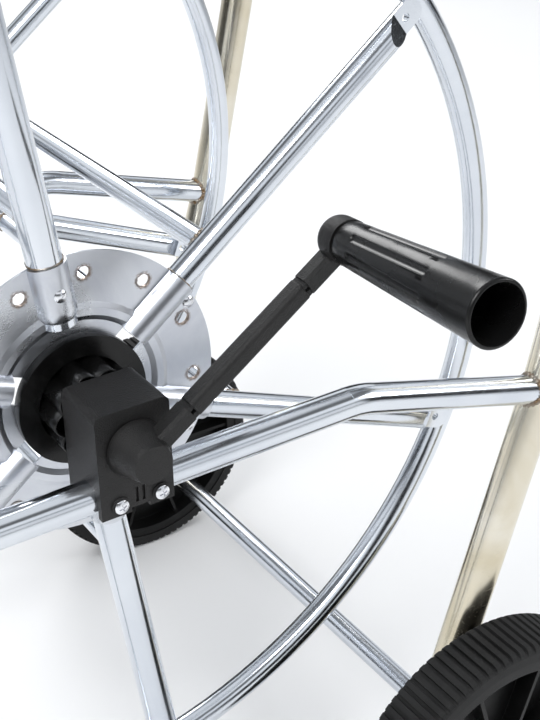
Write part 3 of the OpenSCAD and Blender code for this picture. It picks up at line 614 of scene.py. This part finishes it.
@dataclass
class RippedSleeve:
    """The push bar's soft sleeve, with shallow rings for the hands."""

    node: str = "handle_sleeve"
    rings: int = 26
    ring_depth: float = 0.7 * MM
    end_round: float = 4 * MM

    def build(self, shop: PaintShop) -> bpy.types.Object:
        """Build the sleeve in place of its plain node and return it."""
        low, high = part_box(self.node)
        centre, half, radius = (low + high) / 2, (high.y - low.y) / 2, (high.z - low.z) / 2
        inner = 10.4 * MM

        def fill(work: bmesh.types.BMesh) -> None:
            """Fill the bmesh with the sleeve's rings."""
            profile = [(inner, -half), (radius - self.end_round, -half)]
            steps = self.rings * 8
            for k in range(steps + 1):
                y = -half + 2 * half * k / steps
                from_end = min(half - abs(y), self.end_round)
                chord = max(self.end_round ** 2 - (self.end_round - from_end) ** 2, 0.0)
                round_off = self.end_round - math.sqrt(chord)
                wave = self.ring_depth * 0.5 * (1 - math.cos(2 * math.pi * self.rings * k / steps))
                profile.append((radius - round_off - wave, y))
            profile += [(radius - self.end_round, half), (inner, half)]
            sides = 64
            loops = [[centre + Vector((r * math.cos(t), y, r * math.sin(t))) for r, y in profile]
                     for t in (2 * math.pi * i / sides for i in range(sides))]
            skin_loops(work, loops, closed=True)

        piece = mesh_object("ringed_sleeve", fill)
        shop.dress(piece, "soft_rubber")
        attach(piece, Body.FRAME.value)
        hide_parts(self.node)
        return piece


@dataclass
class HoleBurrs:
    """The turned-up metal round the holes of both reel discs."""

    marks: Landmarks
    hole_circle: float = 70.7 * MM
    hole_radius: float = 3.6 * MM
    first_angle: float = 113.8
    holes: int = 12
    burr: float = 0.55 * MM
    half_sheet: float = 0.75 * MM

    def build(self, shop: PaintShop) -> list[bpy.types.Object]:
        """Build one piece of burrs for each disc and return them."""
        made = []
        near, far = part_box("reel_disc_front"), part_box("reel_disc_rear")
        width = (far[1].y + far[0].y - near[1].y - near[0].y) / 2
        faces = (("burrs_front", self.marks.reel.y - self.half_sheet),
                 ("burrs_rear", self.marks.reel.y + width + self.half_sheet))
        for name, y in faces:
            piece = mesh_object(name, lambda work, y=y: self.fill(work, y))
            shop.dress(piece, "zinc_disc")
            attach(piece, Body.REEL.value)
            made.append(piece)
        return made

    def fill(self, work: bmesh.types.BMesh, y: float) -> None:
        """Lay a ragged ring round each hole at one face."""
        for i in range(self.holes):
            angle = math.radians(self.first_angle - i * 360 / self.holes)
            centre = Vector((self.marks.reel.x + self.hole_circle * math.cos(angle), y,
                             self.marks.reel.z + self.hole_circle * math.sin(angle)))
            ring = []
            for k in range(28):
                t = 2 * math.pi * k / 28
                r = self.hole_radius + 0.5 * MM + 0.12 * MM * math.sin(7 * t + 1.7 * i)
                ring.append(centre + Vector((r * math.cos(t), 0, r * math.sin(t))))
            bead_along(work, ring, self.burr, 0.16 * MM, 9)


@dataclass
class FrameWelds:
    """Weld beads where the side tubes meet the uprights and the front foot."""

    marks: Landmarks
    side_radius: float = 9.5 * MM
    upright_radius: float = 12.7 * MM
    rear_fall: float = math.radians(15.15)
    lower_lean: float = math.radians(73.46)
    upper_lean: float = math.radians(78.0)
    tee: tuple[float, float] = (299.3 * MM, -67.86 * MM)
    foot: tuple[float, float] = (-330.0 * MM, -422.5 * MM)
    knee: tuple[float, float] = (-240.0 * MM, -33.64 * MM)
    bead: float = 1.9 * MM
    ripple: float = 0.45 * MM
    run_in: float = 60 * MM

    def build(self, shop: PaintShop) -> bpy.types.Object:
        """Build all beads of the frame as one piece and return it."""

        def fill(work: bmesh.types.BMesh) -> None:
            """Lay a bead at each joint of both sides."""
            for side in ("side_tube_near", "side_tube_far"):
                y = self.marks.middle(side).y
                tee = self.marks.reel + Vector((self.tee[0], 0, self.tee[1]))
                tee.y = y
                way = Vector((math.cos(self.rear_fall), 0, -math.sin(self.rear_fall)))
                lean = (self.lower_lean + self.upper_lean) / 2
                up = Vector((math.cos(lean), 0, math.sin(lean)))
                path = saddle_path(
                    tee - way * self.run_in, way, self.side_radius, tee, up, self.upright_radius)
                bead_along(work, path, self.bead, self.ripple, 24)
                foot = self.marks.reel + Vector((self.foot[0], 0, self.foot[1]))
                knee = self.marks.reel + Vector((self.knee[0], 0, self.knee[1]))
                foot.y = knee.y = y
                down = (foot - knee).normalized()
                path = saddle_path(
                    foot - down * self.run_in, down, self.side_radius - 0.2 * MM,
                    foot, Vector((0, 1, 0)), self.side_radius)
                bead_along(work, path, self.bead, self.ripple, 22)

        piece = mesh_object("frame_welds", fill)
        piece.data.materials.append(shop.weld)
        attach(piece, Body.FRAME.value)
        return piece


@dataclass
class ReelWelds:
    """Weld beads where the drum bars meet the spokes."""

    marks: Landmarks
    drum_radius: float = 106 * MM
    bar_radius: float = 6.5 * MM
    main_radius: float = 9.5 * MM
    thin_radius: float = 8.0 * MM
    first_angle: float = 98.8
    rear_shift: float = 60.0
    spoke_offset: float = 0.4 * MM
    disc_edge: float = 82.7 * MM
    bead: float = 1.3 * MM

    def ring(self, centre: Vector, axis: Vector, radius: float, steps: int = 64) -> list[Vector]:
        """Points of a circle about an axis through its centre."""
        side = axis.orthogonal().normalized()
        other = axis.cross(side)
        turns = (2 * math.pi * k / steps for k in range(steps))
        return [centre + radius * (math.cos(t) * side + math.sin(t) * other) for t in turns]

    def build(self, shop: PaintShop) -> bpy.types.Object:
        """Build all beads of the reel as one piece and return it."""
        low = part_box("reel_disc_rear")[0]
        near_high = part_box("reel_disc_front")[1]
        rear_plane = low.y + near_high.y - self.marks.reel.y

        def fill(work: bmesh.types.BMesh) -> None:
            """Lay a bead at both ends of every drum bar."""
            for i in range(6):
                angle = math.radians(self.first_angle + 60 * i)
                out = Vector((math.cos(angle), 0, math.sin(angle)))
                for rear in (False, True):
                    main = (i * 60 - (self.rear_shift if rear else 0)) % 180 == 0
                    y = rear_plane - self.spoke_offset if rear else self.marks.reel.y + self.spoke_offset
                    way = Vector((0, 1, 0)) if rear else Vector((0, -1, 0))
                    centre = Vector((self.marks.reel.x, y, self.marks.reel.z))
                    foot = centre + out * self.drum_radius - way * 0.05
                    size = self.main_radius if main else self.thin_radius
                    path = saddle_path(foot, way, self.bar_radius, centre, out, size, 64)
                    bead_along(work, path, self.bead, 0.3 * MM, 14)
                    edge = self.ring(centre + out * self.disc_edge, out, size)
                    bead_along(work, edge, 0.5 * MM, 0.12 * MM, 11)

        piece = mesh_object("reel_welds", fill)
        piece.data.materials.append(shop.weld)
        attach(piece, Body.REEL.value)
        return piece


@dataclass
class HubSkirt:
    """The thin scalloped wall of the crank-side hub, round its neck."""

    marks: Landmarks
    radius: float = 23.4 * MM
    lobe: float = 1.9 * MM
    lobes: int = 10
    wall: float = 1.4 * MM
    foot: float = 2.6 * MM
    reach: float = 25.2 * MM

    def build(self, shop: PaintShop) -> bpy.types.Object:
        """Build the skirt and return it."""

        def fill(work: bmesh.types.BMesh) -> None:
            """Fill the bmesh with the wall's section at each step round."""
            loops, steps = [], 288
            for k in range(steps):
                t = 2 * math.pi * k / steps
                r = self.radius + self.lobe * (2 * abs(math.cos(self.lobes * t / 2)) - 1)
                out = Vector((math.cos(t), 0, math.sin(t)))
                half = self.wall / 2
                section = ((half, self.foot), (half, self.reach - 0.4 * MM), (half - 0.4 * MM, self.reach),
                           (0.4 * MM - half, self.reach), (-half, self.reach - 0.4 * MM), (-half, self.foot))
                loops.append([self.marks.reel + out * (r + a) - Vector((0, y, 0)) for a, y in section])
            skin_loops(work, loops, closed=True)

        piece = mesh_object("hub_skirt", fill)
        shop.dress(piece, "satin_black")
        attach(piece, Body.REEL.value)
        return piece


@dataclass
class SoftEdges:
    """Rounded edges on the moulded and pressed nodes."""

    widths: dict[str, float] = field(default_factory=lambda: {
        "bearing_block_near": 0.7 * MM,
        "bearing_block_far": 0.7 * MM,
        "crank_hub": 0.6 * MM,
        "crank_arm": 0.8 * MM,
        "crank_elbow": 0.5 * MM,
        "hub_front": 0.4 * MM,
        "hub_rear": 0.4 * MM,
        "wheel_near": 0.8 * MM,
        "wheel_far": 0.8 * MM,
        "axle_caps": 0.8 * MM,
        "foot_caps": 1.0 * MM,
        "grip": 0.35 * MM,
        "inlet_elbow": 0.6 * MM,
        "hose_outlet": 0.6 * MM,
        "block_screws": 0.15 * MM,
    })

    def apply(self, frame: dict) -> None:
        """Add the rounding to each named node."""
        for name, width in self.widths.items():
            soften(frame["nodes"][name], width)


# ---- studio ----


@dataclass
class Studio:
    """Pale floor, soft lights and the camera."""

    marks: Landmarks
    camera_offset: tuple[float, float, float] = (-0.2531, -0.5653, 0.3543)
    azimuth: float = math.radians(-33.63)
    elevation: float = math.radians(28.6)
    lens: float = 65.98
    floor_half: float = 40.0

    def build(self) -> None:
        """Build the floor, the world, the lights and the camera."""
        self.floor()
        self.world()
        self.light("key", (-1.9, -1.2, 2.9), (0.1, 0.1, 0.4), 1.4, 70.0)
        self.light("fill", (2.6, -1.8, 1.9), (0.1, 0.1, 0.4), 1.0, 26.0)
        self.light("back", (0.8, 3.0, 2.4), (0.0, 0.1, 0.4), 1.4, 45.0)
        self.camera()
        bpy.context.scene.view_settings.view_transform = "Standard"

    def floor(self) -> None:
        """Lay the pale floor."""
        half = self.floor_half
        corners = [Vector((x, y, 0)) for x, y in ((-half, -half), (half, -half), (half, half), (-half, half))]
        piece = mesh_object("floor", lambda work: work.faces.new([work.verts.new(p) for p in corners]))
        material, g, shader = new_material("pale_floor")
        place = g.add("TexCoord").outputs["Object"]
        noise = g.add("TexNoise", {"Vector": place, "Scale": 3.0, "Detail": 2.0})
        pale = g.mix(noise.outputs["Fac"], (0.90, 0.90, 0.90, 1.0), (0.93, 0.93, 0.93, 1.0))
        g.feed(shader.inputs["Base Color"], pale)
        shader.inputs["Roughness"].default_value = 0.9
        shader.inputs["Specular IOR Level"].default_value = 0.1
        piece.data.materials.append(material)

    def world(self) -> None:
        """Light the room: a bright ceiling, and a darker band with soft openings round the walls."""
        world = bpy.data.worlds.new("studio")
        bpy.context.scene.world = world
        world.use_nodes = True
        g = Graph(world.node_tree)
        spot = g.add("SeparateXYZ", {0: g.add("TexCoord").outputs["Generated"]})
        height = g.math("ADD", g.math("MULTIPLY", spot.outputs["Z"], 0.5), 0.5)
        bands = g.ramp(height, (
            (0.0, 0.9), (0.46, 0.8), (0.50, 0.02), (0.63, 0.02), (0.67, 0.22),
            (0.71, 1.0), (0.80, 1.0), (0.83, 0.16), (0.90, 0.16), (0.94, 0.9)))
        around = g.math("ARCTAN2", spot.outputs["Y"], spot.outputs["X"])
        wave = g.math("SINE", g.math("MULTIPLY", around, 4.0))
        lifted = g.math("ADD", g.math("MULTIPLY", wave, 0.5), 0.5)
        openings = g.ramp(lifted, ((0.0, 0.0), (0.70, 0.0), (0.82, 0.9)))
        walls = g.ramp(height, ((0.0, 0.0), (0.48, 0.0), (0.52, 1.0), (0.62, 1.0), (0.68, 0.0)))
        lit = g.mix(g.math("MULTIPLY", openings, walls), bands, (1.0, 1.0, 1.0, 1.0))
        tint = g.mix(1.0, lit, (0.93, 0.96, 1.0, 1.0), "MULTIPLY")
        seen = g.add("LightPath").outputs["Is Camera Ray"]
        background = world.node_tree.nodes["Background"]
        g.feed(background.inputs["Color"], g.mix(seen, tint, (0.97, 0.97, 0.97, 1.0)))
        background.inputs["Strength"].default_value = 1.05

    def light(
        self, name: str, place: tuple[float, float, float], target: tuple[float, float, float],
        size: float, power: float,
    ) -> None:
        """Add a square area light.

        Args:
            name: The light's name.
            place: Where it hangs.
            target: The point it faces.
            size: Its side.
            power: Its power in watts.
        """
        data = bpy.data.lights.new(name, "AREA")
        data.size = size
        data.energy = power
        lamp = bpy.data.objects.new(name, data)
        lamp.location = place
        lamp.rotation_mode = "QUATERNION"
        lamp.rotation_quaternion = (Vector(target) - Vector(place)).to_track_quat("-Z", "Y")
        bpy.context.scene.collection.objects.link(lamp)

    def camera(self) -> None:
        """Place the camera close to the crank side of the reel."""
        data = bpy.data.cameras.new("camera")
        data.lens = self.lens
        data.clip_start, data.clip_end = 0.01, 200.0
        camera = bpy.data.objects.new("camera", data)
        camera.location = self.marks.reel + Vector(self.camera_offset)
        a, e = self.azimuth, self.elevation
        forward = Vector((-math.sin(a) * math.cos(e), math.cos(a) * math.cos(e), -math.sin(e)))
        camera.rotation_mode = "QUATERNION"
        camera.rotation_quaternion = forward.to_track_quat("-Z", "Y")
        bpy.context.scene.collection.objects.link(camera)
        bpy.context.scene.camera = camera


def write_sizes() -> None:
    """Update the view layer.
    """
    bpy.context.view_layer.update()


def main() -> None:
    """Build every sub-assembly in order."""
    logging.basicConfig(level=logging.INFO)
    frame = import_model()
    marks = Landmarks(frame)
    shop = PaintShop(marks.reel)
    shop.dress_frame(frame)
    SoftEdges().apply(frame)
    for builder in (
        RibbedTyre("tyre_near", Body.NEAR_WHEEL),
        RibbedTyre("tyre_far", Body.FAR_WHEEL),
        RippedSleeve(),
        HoleBurrs(marks),
        FrameWelds(marks),
        ReelWelds(marks),
        HubSkirt(marks),
    ):
        builder.build(shop)
        LOG.info("built %s", type(builder).__name__)
    Studio(marks).build()
    write_sizes()


if __name__ == "__main__":
    main()
